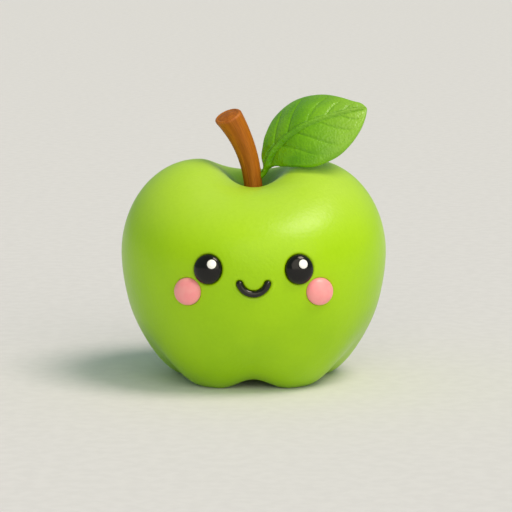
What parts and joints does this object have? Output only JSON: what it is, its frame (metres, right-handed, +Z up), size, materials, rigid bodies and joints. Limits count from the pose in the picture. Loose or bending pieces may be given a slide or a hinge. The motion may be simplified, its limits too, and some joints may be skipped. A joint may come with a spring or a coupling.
{
  "type": "decorative apple",
  "caption": "Round green apple with a curved stem, a single leaf and a small smiling face, standing on flattened base lobes.",
  "frame": {"origin": "middle of the box's base, on the floor that the apple stands on", "axes": "+Z up, the face looks along -Y, +X to the viewer's right"},
  "size_m": [0.08, 0.0765, 0.0852],
  "materials": {
    "skin": "satin yellow-green skin with a fine pebbled grain",
    "stem": "satin brown wood with fine grain lines along it",
    "leaf": "satin mid green, finely puckered between the veins",
    "gloss_black": "polished black",
    "gloss_white": "polished white",
    "cheek": "satin pink",
    "calyx": "dry brown, matt"
  },
  "bodies": {
    "root": {"fruit": "skin", "stem": "stem", "leaf": "leaf", "eye_left": "gloss_black", "eye_right": "gloss_black", "eye_glint_left": "gloss_white", "eye_glint_right": "gloss_white", "cheek_left": "cheek", "cheek_right": "cheek", "mouth": "gloss_black", "calyx": "calyx"}
  },
  "joints": []
}
